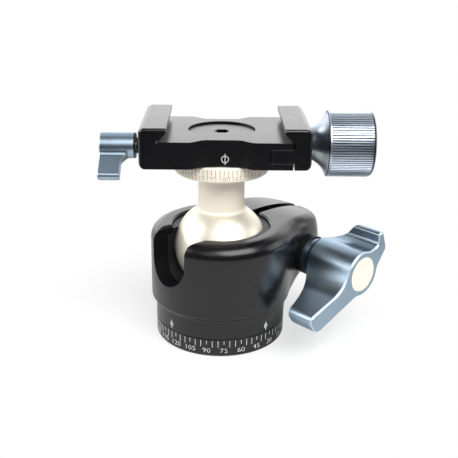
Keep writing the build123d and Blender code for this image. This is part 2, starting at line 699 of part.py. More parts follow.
def make_lock_knob():
    plan = winged_plan(KNOB_HUB_RADIUS, KNOB_LONG_WING, KNOB_SHORT_WING, KNOB_SHORT_TIP)
    corners = web_corners(plan, KNOB_HUB_RADIUS).sort_by_distance((*KNOB_WIDE_CORNER, 0))
    plan = fillet(corners[1:], KNOB_WEB_FILLET)
    plan = fillet(plan.vertices().sort_by_distance((*KNOB_WIDE_CORNER, 0))[0], KNOB_WIDE_FILLET)
    plan = fillet(plan.vertices().sort_by_distance((*KNOB_TIP_CORNER, 0))[0], KNOB_TIP_FILLET)
    hub_low = knob_back + KNOB_NECK_LENGTH
    form = turned(
        (0, knob_back), (KNOB_NECK_RADIUS, knob_back), (KNOB_HUB_RADIUS, hub_low),
        (KNOB_HUB_RADIUS, knob_face), (0, knob_face),
    )
    half = slab(0, knob_face, -knob_face, knob_face, 0, knob_face)
    form += wing_form(KNOB_HUB_RADIUS, hub_low, KNOB_LONG_BACK, knob_face) & mirror(half, Plane.YZ)
    form += wing_form(KNOB_HUB_RADIUS, hub_low, KNOB_SHORT_BACK, knob_face) & half
    knob = form & Pos(0, 0, knob_back) * extrude(plan, knob_face - knob_back)
    knob = chamfer(knob.faces().sort_by(Axis.Z)[-1].edges(), KNOB_EDGE)
    knob -= rod(INLAY_RADIUS, inlay_low, knob_face)
    knob -= rod(LOCK_HEAD_RADIUS, lock_head_low, inlay_low)
    knob -= rod(LOCK_BOLT_RADIUS, knob_back, lock_head_low)
    return lock_plane * knob


def make_lock_bolt():
    head_top = lock_head_low + LOCK_HEAD_HEIGHT
    bolt = rod(LOCK_BOLT_RADIUS, -LOCK_BOLT_TIP, lock_head_low)
    bolt += rod(LOCK_HEAD_RADIUS, lock_head_low, head_top)
    return lock_plane * (bolt - hex_socket(HEX_KEY, head_top, LOCK_BOLT_RADIUS))


def make_lock_inlay():
    return lock_plane * rod(INLAY_RADIUS, inlay_low, knob_face - RUNNING)


# ---- Pan lock at the back of the housing ----
def make_pan_lock_pad():
    return pan_lock_plane * lock_pad(SPINDLE_RADIUS, PAN_LOCK_SCREW)


def make_pan_lock_screw():
    return pan_lock_plane * rod(PAN_LOCK_SCREW, pad_end(SPINDLE_RADIUS), pan_knob_low + PAN_SCREW_SEAT)


def make_pan_lock_knob():
    knob = knurled(PAN_KNOB_RADIUS, KNURL_DEPTH, PAN_KNOB_RIDGES, pan_grip_low, pan_knob_face)
    edge = PAN_KNOB_RADIUS - PAN_KNOB_EDGE
    knob &= turned(
        (0, pan_grip_low), (edge, pan_grip_low), (PAN_KNOB_RADIUS, pan_grip_low + PAN_KNOB_EDGE),
        (PAN_KNOB_RADIUS, pan_knob_face - PAN_KNOB_EDGE), (edge, pan_knob_face), (0, pan_knob_face),
    )
    knob += rod(PAN_KNOB_NECK, pan_knob_low, pan_grip_low)
    return pan_lock_plane * (knob - rod(PAN_LOCK_SCREW, pan_knob_low, pan_knob_low + PAN_SCREW_SEAT))


# ---- Ball, scale flange and the screw that holds the clamp down ----
def make_ball_stem():
    stem = ball(BALL_RADIUS) + rod(STEM_RADIUS, ball_height, stem_top)
    foot = stem.edges().filter_by(lambda edge: edge.is_closed).sort_by(Axis.Z)[0]
    stem = fillet(foot, STEM_FOOT_FILLET)
    stem -= rod(PAN_SCREW_SHANK, stem_top - PAN_SCREW_REACH, stem_top)
    return stem - Pos(dowel_offset, 0, 0) * rod(DOWEL_RADIUS, stem_top - DOWEL_LENGTH / 2, stem_top)


def make_pan_flange():
    edge = FLANGE_RADIUS - FLANGE_EDGE
    flange = turned(
        (0, stem_top), (edge, stem_top), (FLANGE_RADIUS, stem_top + FLANGE_EDGE),
        (FLANGE_RADIUS, flange_top - FLANGE_EDGE), (edge, flange_top), (HUB_RADIUS, flange_top),
        (HUB_RADIUS, hub_top), (0, hub_top),
    )
    flange -= tube(clamp_bearing_outer, clamp_bearing_inner, flange_top - CLAMP_BEARING_DEPTH, flange_top)
    flange -= lock_groove(HUB_RADIUS, clamp_lock_height)
    flange -= rod(PAN_SCREW_SHANK, stem_top, hub_top)
    return flange - Pos(dowel_offset, 0, 0) * rod(DOWEL_RADIUS, stem_top, stem_top + DOWEL_LENGTH / 2)


def make_flange_dowel():
    half = DOWEL_LENGTH / 2
    return Pos(dowel_offset, 0, 0) * rod(DOWEL_RADIUS, stem_top - half, stem_top + half)


def make_pan_screw():
    head_top = hub_top + PAN_HEAD_THICKNESS - RUNNING
    screw = rod(PAN_SCREW_SHANK, stem_top - PAN_SCREW_REACH, hub_top)
    screw += rod(pan_head_radius, hub_top, head_top)
    return screw - hex_socket(HEX_KEY, head_top, PAN_HEAD_THICKNESS + HEX_DEPTH)


def make_clamp_bearing():
    return tube(clamp_bearing_outer, clamp_bearing_inner, flange_top - CLAMP_BEARING_DEPTH, clamp_bottom)


# ---- Dovetail clamp ----
def clamp_plan():
    """Plan of the clamp's body, pinched in at the middle."""
    wide, narrow = CLAMP_LENGTH / 2, CLAMP_WAIST / 2
    run = WAIST_START + WAIST_RUN
    side = [
        (fixed_outer, wide), (-run, wide), (-WAIST_START, narrow), (WAIST_START, narrow), (run, wide),
        (moving_undercut, wide),
    ]
    plan = make_face(Polyline(*side, *[(x, -y) for x, y in reversed(side)], close=True))
    waist = [corner for corner in plan.vertices() if abs(corner.X) < run + RUNNING]
    return fillet(waist, WAIST_ROUND)


def end_pair(shape):
    """A shape at the clamp's +Y end, and its mirror image at the other end."""
    return shape + mirror(shape, Plane.XZ)


def guide_places():
    """The places of the guide pins and jaw springs beside the clamp screw."""
    return [clamp_screw_plane * Pos(side * GUIDE_PIN_SPREAD, 0, 0) for side in (-1, 1)]


def make_clamp_body():
    body = Pos(0, 0, clamp_bottom) * extrude(clamp_plan(), jaw_top - clamp_bottom)
    ends = body.edges().filter_by(Axis.X).filter_by_position(Axis.Z, jaw_top, jaw_top)
    body = fillet(ends.group_by(Axis.X)[0], JAW_END_EDGE)
    body = fillet(body.faces().sort_by(Axis.X)[0].edges(), CLAMP_EDGE)
    lip = fixed_undercut + DOVETAIL_DEPTH
    channel = Polyline(
        (fixed_undercut, clamp_floor), (lip, clamp_floor + DOVETAIL_DEPTH), (lip, jaw_top + DOVETAIL_DEPTH),
        (jaw_outer, jaw_top + DOVETAIL_DEPTH), (jaw_outer, clamp_floor - LEDGE_CHAMFER),
        (moving_undercut, clamp_floor - LEDGE_CHAMFER), (moving_undercut - LEDGE_CHAMFER, clamp_floor),
        close=True,
    )
    body -= extrude(Plane.XZ * make_face(channel), CLAMP_LENGTH, both=True)
    relief = Pos(fixed_undercut, clamp_floor) * Circle(RELIEF_RADIUS)
    body -= extrude(Plane.XZ * relief, CLAMP_LENGTH, both=True)
    body -= rod(HUB_RADIUS + RUNNING, clamp_bottom, ledge_height)
    body -= rod(clamp_recess, ledge_height, clamp_floor)
    body -= end_pair(
        slab(
            jaw_face - TONGUE_LENGTH - SLIDE_GAP, jaw_outer,
            CLAMP_LENGTH / 2 - TONGUE_DEPTH - SLIDE_GAP, CLAMP_LENGTH,
            tongue_low - SLIDE_GAP, tongue_high + SLIDE_GAP,
        )
    )
    body -= clamp_screw_plane * rod(CLAMP_SCREW_RADIUS + THREAD_GAP, clamp_tap_end, jaw_outer)
    for place in guide_places():
        body -= place * rod(GUIDE_PIN_RADIUS + RUNNING, guide_hole_end, jaw_outer)
        body -= place * rod(SPRING_POCKET, pocket_end, jaw_outer)
    return body - clamp_lock_plane * rod(CLAMP_LOCK_SCREW + THREAD_GAP, HUB_RADIUS, spacer_end)


def make_moving_jaw():
    lip = moving_undercut - DOVETAIL_DEPTH
    section = Polyline(
        (jaw_face, clamp_bottom), (jaw_outer, clamp_bottom), (jaw_outer, jaw_top), (lip, jaw_top),
        (lip, clamp_floor + DOVETAIL_DEPTH), (jaw_face, clamp_floor - JAW_GAP), close=True,
    )
    jaw = extrude(Plane.XZ * make_face(section), CLAMP_LENGTH / 2, both=True)
    ends = jaw.edges().filter_by(Axis.X).filter_by_position(Axis.Z, jaw_top, jaw_top)
    jaw = fillet(ends, JAW_END_EDGE)
    jaw = fillet(jaw.faces().sort_by(Axis.X)[-1].edges(), CLAMP_EDGE)
    jaw += end_pair(
        slab(
            jaw_face - TONGUE_LENGTH, jaw_face, CLAMP_LENGTH / 2 - TONGUE_DEPTH, CLAMP_LENGTH / 2,
            tongue_low, tongue_high,
        )
    )
    jaw -= clamp_screw_plane * rod(CLAMP_SCREW_RADIUS + RUNNING, jaw_face, jaw_outer)
    for place in guide_places():
        jaw -= place * rod(GUIDE_PIN_RADIUS, jaw_face, guide_pin_end)
    return jaw


def make_guide_pins():
    pin = rod(GUIDE_PIN_RADIUS, guide_pin_tip, guide_pin_end)
    return Compound(children=[place * pin for place in guide_places()])


def make_jaw_springs():
    low, high = pocket_end + COIL_WIRE + RUNNING, jaw_face - COIL_WIRE - RUNNING
    coil = Helix((high - low) / COIL_TURNS, high - low, COIL_RADIUS)
    wire = sweep(Plane(coil @ 0, z_dir=coil % 0) * Circle(COIL_WIRE), path=coil)
    return Compound(children=[place * Pos(0, 0, low) * wire for place in guide_places()])


# ---- Clamp knob ----
def make_clamp_washer():
    washer = tube(CLAMP_WASHER_RADIUS, CLAMP_SCREW_RADIUS + RUNNING, jaw_outer, clamp_knob_low)
    return clamp_screw_plane * washer


def make_clamp_screw():
    head_top = clamp_head_low + CLAMP_HEAD_HEIGHT
    screw = rod(CLAMP_SCREW_RADIUS, clamp_screw_tip, clamp_head_low)
    screw += rod(CLAMP_HEAD_RADIUS, clamp_head_low, head_top)
    return clamp_screw_plane * (screw - hex_socket(HEX_KEY, head_top, CLAMP_SCREW_RADIUS))


def make_clamp_knob():
    neck_end = (CLAMP_KNOB_NECK, clamp_knob_low + CLAMP_KNOB_NECK_LENGTH)
    bell_radius, bell_place = CLAMP_KNOB_BELL
    shoulder = clamp_knob_low + CLAMP_KNOB_FLARE
    flare_end = (CLAMP_KNOB_RADIUS - CLAMP_KNOB_LIP, shoulder - CLAMP_KNOB_LIP / 2)
    rim = []
    for step in range(RIM_STEPS + 1):
        turn = pi / 2 * step / RIM_STEPS
        across = CLAMP_KNOB_RADIUS - CLAMP_KNOB_EDGE * (1 - cos(turn))
        rim.append((across, clamp_knob_end - CLAMP_KNOB_EDGE * (1 - sin(turn))))
    outline = make_face(
        [
            Polyline(
                flare_end, (CLAMP_KNOB_RADIUS, shoulder), *rim, (0, clamp_knob_end), (0, clamp_knob_low),
                (CLAMP_KNOB_NECK, clamp_knob_low), neck_end,
            ),
            ThreePointArc(neck_end, (bell_radius, clamp_knob_low + bell_place), flare_end),
        ]
    )
    knurl_low = shoulder + CLAMP_KNOB_BAND
    grip = knurled(CLAMP_KNOB_RADIUS, KNURL_DEPTH, KNURL_RIDGES, knurl_low, clamp_knob_end)
    knob = revolve(Plane.XZ * outline, Axis.Z)
    knob &= rod(CLAMP_KNOB_RADIUS, clamp_knob_low, knurl_low) + grip
    knob -= rod(CAP_RADIUS, clamp_cap_low, clamp_knob_end)
    knob -= rod(CLAMP_HEAD_RADIUS, clamp_head_low, clamp_cap_low)
    return clamp_screw_plane * (knob - rod(CLAMP_SCREW_RADIUS, clamp_knob_low, clamp_head_low))


def make_clamp_knob_cap():
    return clamp_screw_plane * rod(CAP_RADIUS, clamp_cap_low, clamp_knob_end)


# ---- Clamp pan lock ----
def make_clamp_lock_pad():
    return clamp_lock_plane * lock_pad(HUB_RADIUS, CLAMP_LOCK_SCREW)


def make_clamp_lock_screw():
    return clamp_lock_plane * rod(CLAMP_LOCK_SCREW, pad_end(HUB_RADIUS), small_knob_low + SMALL_SCREW_SEAT)


def make_clamp_lock_spacer():
    return clamp_lock_plane * tube(SPACER_RADIUS, CLAMP_LOCK_SCREW + RUNNING, -fixed_outer, spacer_end)


def make_clamp_lock_ring():
    return clamp_lock_plane * tube(LOCK_RING_RADIUS, CLAMP_LOCK_SCREW, lock_ring_low, small_knob_low)


def make_clamp_lock_knob():
    plan = winged_plan(SMALL_KNOB_RADIUS, SMALL_LONG_WING, SMALL_SHORT_WING)
    plan = fillet(web_corners(plan, SMALL_KNOB_RADIUS), SMALL_WEB_FILLET)
    collar_end = small_knob_low + SMALL_COLLAR
    form = rod(SMALL_KNOB_RADIUS, small_knob_low, collar_end)
    form += wing_form(SMALL_KNOB_RADIUS, collar_end, SMALL_BACK, small_knob_face)
    knob = form & Pos(0, 0, small_knob_low) * extrude(plan, SMALL_KNOB_LENGTH)
    knob = chamfer(knob.faces().sort_by(Axis.Z)[-1].edges(), SMALL_KNOB_EDGE)
    knob -= rod(CLAMP_LOCK_SCREW, small_knob_low, small_knob_low + SMALL_SCREW_SEAT)
    return clamp_lock_plane * knob


def main():
    """Writes every piece of the ball head to its own file."""
    os.makedirs("parts", exist_ok=True)
    pieces = {
        "base_ring": make_base_ring(),
        "thread_bush": make_thread_bush(),
        "pan_bearing": make_pan_bearing(),
        "retainer_plate": make_retainer_plate(),
        "retainer_screws": make_retainer_screws(),
        "housing": make_housing(),
        "housing_floor": make_housing_floor(),
        "seat_spring": make_seat_spring(),
        "ball_seat": make_ball_seat(),
        "socket_liner": make_socket_liner(),
        "lock_washer": make_lock_washer(),
        "lock_collar": make_lock_collar(),
        "lock_knob": make_lock_knob(),
        "lock_bolt": make_lock_bolt(),
        "lock_inlay": make_lock_inlay(),
        "pan_lock_pad": make_pan_lock_pad(),
        "pan_lock_screw": make_pan_lock_screw(),
        "pan_lock_knob": make_pan_lock_knob(),
        "ball_stem": make_ball_stem(),
        "pan_flange": make_pan_flange(),
        "flange_dowel": make_flange_dowel(),
        "pan_screw": make_pan_screw(),
        "clamp_bearing": make_clamp_bearing(),
        "clamp_body": make_clamp_body(),
        "moving_jaw": make_moving_jaw(),
        "guide_pins": make_guide_pins(),
        "jaw_springs": make_jaw_springs(),
        "clamp_washer": make_clamp_washer(),
        "clamp_screw": make_clamp_screw(),
        "clamp_knob": make_clamp_knob(),
        "clamp_knob_cap": make_clamp_knob_cap(),
        "clamp_lock_pad": make_clamp_lock_pad(),
        "clamp_lock_screw": make_clamp_lock_screw(),
        "clamp_lock_spacer": make_clamp_lock_spacer(),
        "clamp_lock_ring": make_clamp_lock_ring(),
        "clamp_lock_knob": make_clamp_lock_knob(),
    }
    for name, shape in pieces.items():
        export_step(shape, f"parts/{name}.step")


main()
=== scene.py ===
from math import cos, pi, radians, sin

import bmesh
import bpy
from mathutils import Matrix, Vector


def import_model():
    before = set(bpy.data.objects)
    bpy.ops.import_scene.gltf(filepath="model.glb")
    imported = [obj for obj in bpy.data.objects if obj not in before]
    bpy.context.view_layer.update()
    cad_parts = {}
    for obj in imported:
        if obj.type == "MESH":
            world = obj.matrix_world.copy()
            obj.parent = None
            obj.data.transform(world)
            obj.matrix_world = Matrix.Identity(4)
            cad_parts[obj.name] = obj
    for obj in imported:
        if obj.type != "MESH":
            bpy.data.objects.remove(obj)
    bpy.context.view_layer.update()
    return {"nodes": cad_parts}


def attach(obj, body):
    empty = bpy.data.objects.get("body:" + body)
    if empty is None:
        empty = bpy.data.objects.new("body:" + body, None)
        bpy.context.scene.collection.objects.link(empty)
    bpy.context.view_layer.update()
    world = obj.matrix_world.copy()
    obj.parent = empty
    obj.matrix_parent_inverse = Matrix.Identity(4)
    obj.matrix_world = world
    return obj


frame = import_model()
NODES = frame["nodes"]
MM = 0.001

# ---- Colours (linear) ----
BLACK = (0.0035, 0.0035, 0.0042)
BLUE = (0.29, 0.375, 0.455)
PALE_BLUE = (0.42, 0.47, 0.54)
# lighter blue of the cut chamfers: partly the bare cut, partly a painted highlight
CHAMFER_BLUE_AND_HIGHLIGHT = (0.46, 0.53, 0.60)
CHAMPAGNE = (0.73, 0.69, 0.58)
CREAM = (0.92, 0.845, 0.73)
STEEL = (0.55, 0.55, 0.56)
BRASS = (0.66, 0.47, 0.18)
ACETAL = (0.72, 0.71, 0.66)
WHITE_INK = (0.82, 0.82, 0.80)
ENGRAVING = (0.26, 0.20, 0.13)
EDGE_TINT = (0.76, 0.80, 0.85)  # of the blue anodising, seen at a flat angle
ALUMINIUM = (0.62, 0.62, 0.62)
INLAY_WHITE = (0.76, 0.74, 0.64)
BLACK_ACETAL = (0.008, 0.008, 0.009)
GREY_INK = (0.45, 0.45, 0.45)
PAPER = (0.78, 0.78, 0.78)
WHITE = (1, 1, 1)
GROOVE_PAINTED_SHADE = 0.05  # painted shade in a knurl's grooves: the share of the tone kept there

# ---- Gloss of the black anodising (specular level; 0.5 is a plain dielectric) ----
BLACK_GLOSS = 0.42
HOUSING_GLOSS = 0.40
NOTCH_GLOSS = 0.05
NOTCH_DULLING = 0.35  # added to the roughness of the notch's walls

# ---- Places shared with the solids, in millimetres ----
BODY_AZIMUTH = 43.0
LOCK_AZIMUTH = BODY_AZIMUTH - 90
BASE_RADIUS = 20.4
FLANGE_RADIUS = 14.2
STEM_FOOT = (40.6, 41.2)  # heights between which the ball's finish becomes the stem's
LOCK_POINT = (25.0 * cos(radians(BODY_AZIMUTH)), 25.0 * sin(radians(BODY_AZIMUTH)), 23.1)
LOCK_DIRECTION = (cos(radians(LOCK_AZIMUTH)), sin(radians(LOCK_AZIMUTH)), 0)
LOCK_FACE = 37.0
LOCK_CHAMFER = (LOCK_FACE - 0.3, 0.14)  # (distance along the axis, width)
SMALL_FACE = 36.35
SMALL_CHAMFER = (SMALL_FACE - 0.17, 0.2)
JAW_TOP = 69.56
CLAMP_FRONT = -13.15  # y of the waist's front face
CLAMP_KNOB_RADIUS = 9.9
PAN_KNOB_RADIUS = 5.6
KNURL_DEPTH = 0.35
NOTCH_AZIMUTH = BODY_AZIMUTH + 177
NOTCH_DIRECTION = (cos(radians(NOTCH_AZIMUTH)), sin(radians(NOTCH_AZIMUTH)), 0)
NOTCH_HALF_WIDTH = 7.75
NOTCH_REACH = 21.7  # from the ball's axis
NOTCH_FOOT = 20.0


# ---- Node helpers ----
class Tree:
    """A material's node tree, with short calls for the nodes used here."""

    def __init__(self, name):
        self.material = bpy.data.materials.new(name)
        self.material.use_nodes = True
        self.tree = self.material.node_tree
        self.shader = self.tree.nodes["Principled BSDF"]
        self.coordinates = self.tree.nodes.new("ShaderNodeTexCoord")

    def node(self, kind, inputs=None, **settings):
        made = self.tree.nodes.new(kind)
        for name, value in settings.items():
            setattr(made, name, value)
        for name, value in (inputs or {}).items():
            self.set(made.inputs[name], value)
        return made

    def set(self, socket, value):
        if isinstance(value, bpy.types.NodeSocket):
            self.tree.links.new(value, socket)
        elif hasattr(value, "__len__") and socket.type == "RGBA":
            socket.default_value = (*value, 1) if len(value) == 3 else value
        else:
            socket.default_value = value

    def math(self, operation, a, b=0.0, c=0.0, clamp=False):
        made = self.node("ShaderNodeMath", {0: a, 1: b, 2: c}, operation=operation, use_clamp=clamp)
        return made.outputs[0]

    def vector(self, operation, a, b=(0, 0, 0)):
        made = self.node("ShaderNodeVectorMath", {0: a, 1: b}, operation=operation)
        return made.outputs["Value"] if operation in ("DOT_PRODUCT", "LENGTH") else made.outputs[0]

    def step(self, value, low, high):
        """0 below low, 1 above high, smooth between."""
        made = self.node("ShaderNodeMapRange", {"Value": value, "From Min": low, "From Max": high},
                         interpolation_type="SMOOTHSTEP")
        return made.outputs["Result"]

    def between(self, value, low, high):
        made = self.node("ShaderNodeMapRange", {"Value": value, "To Min": low, "To Max": high})
        return made.outputs["Result"]

    def mix(self, factor, a, b):
        made = self.node("ShaderNodeMix", data_type="RGBA")
        self.set(made.inputs[0], factor)
        self.set(made.inputs[6], a)
        self.set(made.inputs[7], b)
        return made.outputs[2]

    def noise(self, millimetres, detail=2.0, squeeze=(1, 1, 1)):
        """Noise whose cells are about so many millimetres, squeezed along the axes given."""
        place = self.node("ShaderNodeMapping", {"Vector": self.coordinates.outputs["Object"],
                                                "Scale": squeeze})
        made = self.node("ShaderNodeTexNoise", {"Vector": place.outputs[0], "Scale": 1 / (millimetres * MM),
                                                "Detail": detail, "Roughness": 0.55})
        return made.outputs["Fac"]

    def rings(self, lane, detail=1.0):
        """Tool marks: noise along one number, whose unit is one mark."""
        return self.node("ShaderNodeTexNoise", {"W": lane, "Scale": 1.0, "Detail": detail},
                         noise_dimensions="1D").outputs["Fac"]

    def axis(self, point, direction):
        """(distance along an axis, distance from it), both in metres; the point is in millimetres."""
        offset = self.vector("SUBTRACT", self.coordinates.outputs["Object"], [v * MM for v in point])
        along = self.vector("DOT_PRODUCT", offset, direction)
        shadow = self.node("ShaderNodeVectorMath", {0: direction, "Scale": along}, operation="SCALE")
        across = self.vector("SUBTRACT", offset, shadow.outputs[0])
        return along, self.vector("LENGTH", across)

    def facing(self, direction):
        return self.vector("DOT_PRODUCT", self.coordinates.outputs["Normal"], direction)

    def bump(self, heights, rounding=0.0):
        """Bump from (height, strength, depth in mm) triples, over edges softened by a radius in mm."""
        normal = None
        if rounding:
            normal = self.node("ShaderNodeBevel", {"Radius": rounding * MM}, samples=4).outputs[0]
        for height, strength, depth in heights:
            made = self.node("ShaderNodeBump", {"Height": height, "Strength": strength,
                                                "Distance": depth * MM})
            if normal:
                self.set(made.inputs["Normal"], normal)
            normal = made.outputs[0]
        self.set(self.shader.inputs["Normal"], normal)

    def finish(self, colour, roughness, **values):
        self.set(self.shader.inputs["Base Color"], colour)
        self.set(self.shader.inputs["Roughness"], roughness)
        for name, value in values.items():
            self.shader.inputs[name.replace("_", " ").title().replace("Ior", "IOR")].default_value = value
        return self.material


def assign(material, *nodes):
    for node in nodes:
        slots = NODES[node].data.materials
        for place in range(len(slots)):
            slots[place] = material
        if not slots:
            slots.append(material)


# ---- Finishes ----
# Tool marks per metre.
MARKS_FINE = 9000.0
MARKS_BARE = 8000.0
MARKS_COARSE = 7000.0
MARKS_WIDE = 6000.0


def black_anodised(name, point=None, direction=None, rounding=0.22, notch=None):
    """Bead-blasted black anodising: a fine grain, faint handling marks and edges that catch the light.

    A notch is (direction, half width, outer radius, foot) of a milled cut whose walls are left dull."""
    t = Tree(name)
    grain = t.noise(0.16, detail=1.0)
    cloud = t.noise(9.0, detail=3.0)
    colour = t.mix(cloud, [v * 0.8 for v in BLACK], [v * 1.35 for v in BLACK])
    rough = t.math("ADD", t.between(cloud, 0.22, 0.30), t.between(grain, -0.03, 0.03))
    heights = [(grain, 0.10, 0.02)]
    if direction:
        along, _ = t.axis(point, direction)
        heights.append((t.rings(t.math("MULTIPLY", along, MARKS_FINE)), 0.06, 0.02))
    t.bump(heights, rounding=rounding)
    if not notch:
        return t.finish(colour, rough, Metallic=0.0, specular_ior_level=BLACK_GLOSS)
    outwards, half, outer, foot = notch
    height, reach = t.axis((0, 0, 0), (0, 0, 1))
    along, _ = t.axis((0, 0, 0), outwards)
    sideways, _ = t.axis((0, 0, 0), (-outwards[1], outwards[0], 0))
    within = t.math("MULTIPLY", t.math("LESS_THAN", t.math("ABSOLUTE", sideways), half * MM),
                    t.math("LESS_THAN", reach, outer * MM))
    outer_half = t.math("MULTIPLY", t.math("GREATER_THAN", along, 0.0),
                        t.math("GREATER_THAN", height, foot * MM))
    inside = t.math("MULTIPLY", within, outer_half)
    t.set(t.shader.inputs["Specular IOR Level"], t.between(inside, HOUSING_GLOSS, NOTCH_GLOSS))
    return t.finish(colour, t.math("ADD", rough, t.math("MULTIPLY", inside, NOTCH_DULLING)), Metallic=0.0)


def blue_anodised(name, point, direction, tone=BLUE, chamfers=(), turned=True, knurl=None, rounding=0.12):
    """Blue-grey anodising with turning marks about an axis, and cut chamfers in a lighter blue that is
    partly the bare cut and partly a painted highlight.

    Each chamfer is (distance along the axis, width), in millimetres from the point. A knurl is (outer
    radius, depth), and its grooves are darkened with painted shade."""
    t = Tree(name)
    along, radius = t.axis(point, direction)
    grain = t.noise(0.14, detail=1.0)
    cloud = t.noise(7.0, detail=3.0)
    colour = t.mix(cloud, [v * 0.92 for v in tone], [v * 1.08 for v in tone])
    rough = t.math("ADD", t.between(cloud, 0.30, 0.37), t.between(grain, -0.02, 0.02))
    lean = t.math("ABSOLUTE", t.facing(direction))
    slope = t.math("MULTIPLY", t.step(lean, 0.25, 0.45), t.step(lean, 0.97, 0.86))
    metal = 1.0
    # Cut chamfers turn a lighter, duller blue: partly the bare cut, partly a painted highlight.
    for place, width in chamfers:
        near = t.math("ABSOLUTE", t.math("SUBTRACT", along, place * MM))
        mask = t.math("MULTIPLY", slope, t.step(near, (width + 0.1) * MM, width * MM))
        colour = t.mix(mask, colour, CHAMFER_BLUE_AND_HIGHLIGHT)
        rough = t.math("ADD", rough, t.math("MULTIPLY", mask, 0.2))
        metal = t.between(mask, 1.0, 0.6)
    if knurl:
        outer, depth = knurl
        # Painted shade: the knurl's grooves are darkened in colour towards their roots.
        ridge = t.step(radius, (outer - 0.75 * depth) * MM, outer * MM)
        inside = t.math("LESS_THAN", radius, (outer - 1.6 * depth) * MM)
        colour = t.mix(t.math("MAXIMUM", ridge, inside), [v * GROOVE_PAINTED_SHADE for v in tone], colour)
    heights = [(grain, 0.10, 0.02)]
    if turned:
        lane = t.math("ADD", t.math("MULTIPLY", along, MARKS_COARSE),
                      t.math("MULTIPLY", radius, MARKS_COARSE))
        heights.append((t.rings(lane), 0.10, 0.02))
    t.bump(heights, rounding=rounding)
    t.set(t.shader.inputs["Metallic"], metal)
    t.set(t.shader.inputs["Specular Tint"], EDGE_TINT)
    return t.finish(colour, rough)


def champagne(name):
    """Satin ball: blasted grain and a soft pearl tone."""
    t = Tree(name)
    grain = t.noise(0.22, detail=1.5)
    cloud = t.noise(6.0, detail=2.0)
    colour = t.mix(cloud, [v * 0.96 for v in CHAMPAGNE], [min(v * 1.04, 1) for v in CHAMPAGNE])
    height, _ = t.axis((0, 0, 0), (0, 0, 1))
    stem = t.step(height, STEM_FOOT[0] * MM, STEM_FOOT[1] * MM)
    colour = t.mix(stem, colour, CREAM)
    rough = t.math("ADD", t.between(stem, 0.38, 0.55), t.between(grain, -0.04, 0.04))
    t.bump([(grain, 0.16, 0.03)], rounding=0.1)
    t.set(t.shader.inputs["Metallic"], t.between(stem, 0.55, 0.05))
    return t.finish(colour, rough)


def cream_turned(name, point, direction):
    """Cream anodising with faint turning marks."""
    t = Tree(name)
    along, radius = t.axis(point, direction)
    grain = t.noise(0.2, detail=1.0)
    rings = t.rings(t.math("MULTIPLY", t.math("ADD", along, radius), MARKS_WIDE))
    colour = t.mix(t.noise(5.0), [v * 0.95 for v in CREAM], CREAM)
    rough = t.between(rings, 0.36, 0.48)
    t.bump([(grain, 0.08, 0.02), (rings, 0.08, 0.02)], rounding=0.1)
    return t.finish(colour, rough, Metallic=0.1)


def turned_metal(name, colour, point, direction, roughness=0.28):
    """Bare turned metal with its tool marks."""
    t = Tree(name)
    along, radius = t.axis(point, direction)
    rings = t.rings(t.math("MULTIPLY", t.math("ADD", along, radius), MARKS_BARE), detail=2.0)
    cloud = t.noise(4.0)
    shade = t.mix(cloud, [v * 0.9 for v in colour], colour)
    rough = t.math("ADD", t.between(rings, roughness - 0.06, roughness + 0.06),
                   t.between(cloud, -0.03, 0.03))
    t.bump([(rings, 0.15, 0.02)], rounding=0.08)
    return t.finish(shade, rough, Metallic=1.0)


def plastic(name, colour, roughness, gloss=0.0, level=0.5):
    """Moulded or turned plastic: a fine skin texture and slight unevenness."""
    t = Tree(name)
    grain = t.noise(0.18, detail=1.0)
    cloud = t.noise(5.0, detail=2.0)
    shade = t.mix(cloud, [v * 0.9 for v in colour], colour)
    rough = t.math("ADD", t.between(cloud, roughness - 0.05, roughness + 0.05),
                   t.between(grain, -0.02, 0.02))
    t.bump([(grain, 0.08, 0.02)], rounding=0.08)
    return t.finish(shade, rough, Metallic=0.0, coat_weight=gloss, specular_ior_level=level)


def ink(name, colour):
    """Matt ink with slight wear."""
    t = Tree(name)
    wear = t.noise(0.35, detail=2.0)
    shade = t.mix(wear, [v * 0.8 for v in colour], colour)
    t.bump([(wear, 0.1, 0.01)])
    return t.finish(shade, t.between(wear, 0.5, 0.7), Metallic=0.0)


Z = (0, 0, 1)
X = (1, 0, 0)
BASE_AXIS = ((0, 0, 0), Z)
SCREW_AXIS = ((0, 0, 61.6), X)
CLAMP_LOCK_AXIS = ((0, 0, 60.5), (-1, 0, 0))
PAN_LOCK_AXIS = ((0, 0, 8.5), (cos(radians(105)), sin(radians(105)), 0))
LOCK_AXIS = (LOCK_POINT, LOCK_DIRECTION)

assign(black_anodised("black_turned", *BASE_AXIS), "base_ring")
assign(black_anodised("black_blasted"), "clamp_body", "moving_jaw")
assign(black_anodised("black_housing", rounding=0.0,
                      notch=(NOTCH_DIRECTION, NOTCH_HALF_WIDTH, NOTCH_REACH, NOTCH_FOOT)), "housing")
assign(black_anodised("black_disc", *BASE_AXIS), "pan_screw")
assign(blue_anodised("blue_lock_knob", *LOCK_AXIS, chamfers=[LOCK_CHAMFER], turned=False, rounding=0.0),
       "lock_knob")
assign(blue_anodised("blue_lock_collar", *LOCK_AXIS), "lock_collar")
assign(blue_anodised("blue_clamp_knob", *SCREW_AXIS, tone=PALE_BLUE, turned=False,
                     knurl=(CLAMP_KNOB_RADIUS, KNURL_DEPTH), rounding=0.03), "clamp_knob")
assign(blue_anodised("blue_knob_cap", *SCREW_AXIS, tone=PALE_BLUE), "clamp_knob_cap")
assign(blue_anodised("blue_small_knob", *CLAMP_LOCK_AXIS, chamfers=[SMALL_CHAMFER], turned=False,
                     rounding=0.0), "clamp_lock_knob")
assign(blue_anodised("blue_pan_knob", *PAN_LOCK_AXIS, turned=False,
                     knurl=(PAN_KNOB_RADIUS, KNURL_DEPTH), rounding=0.03), "pan_lock_knob")
assign(champagne("champagne_satin"), "ball_stem")
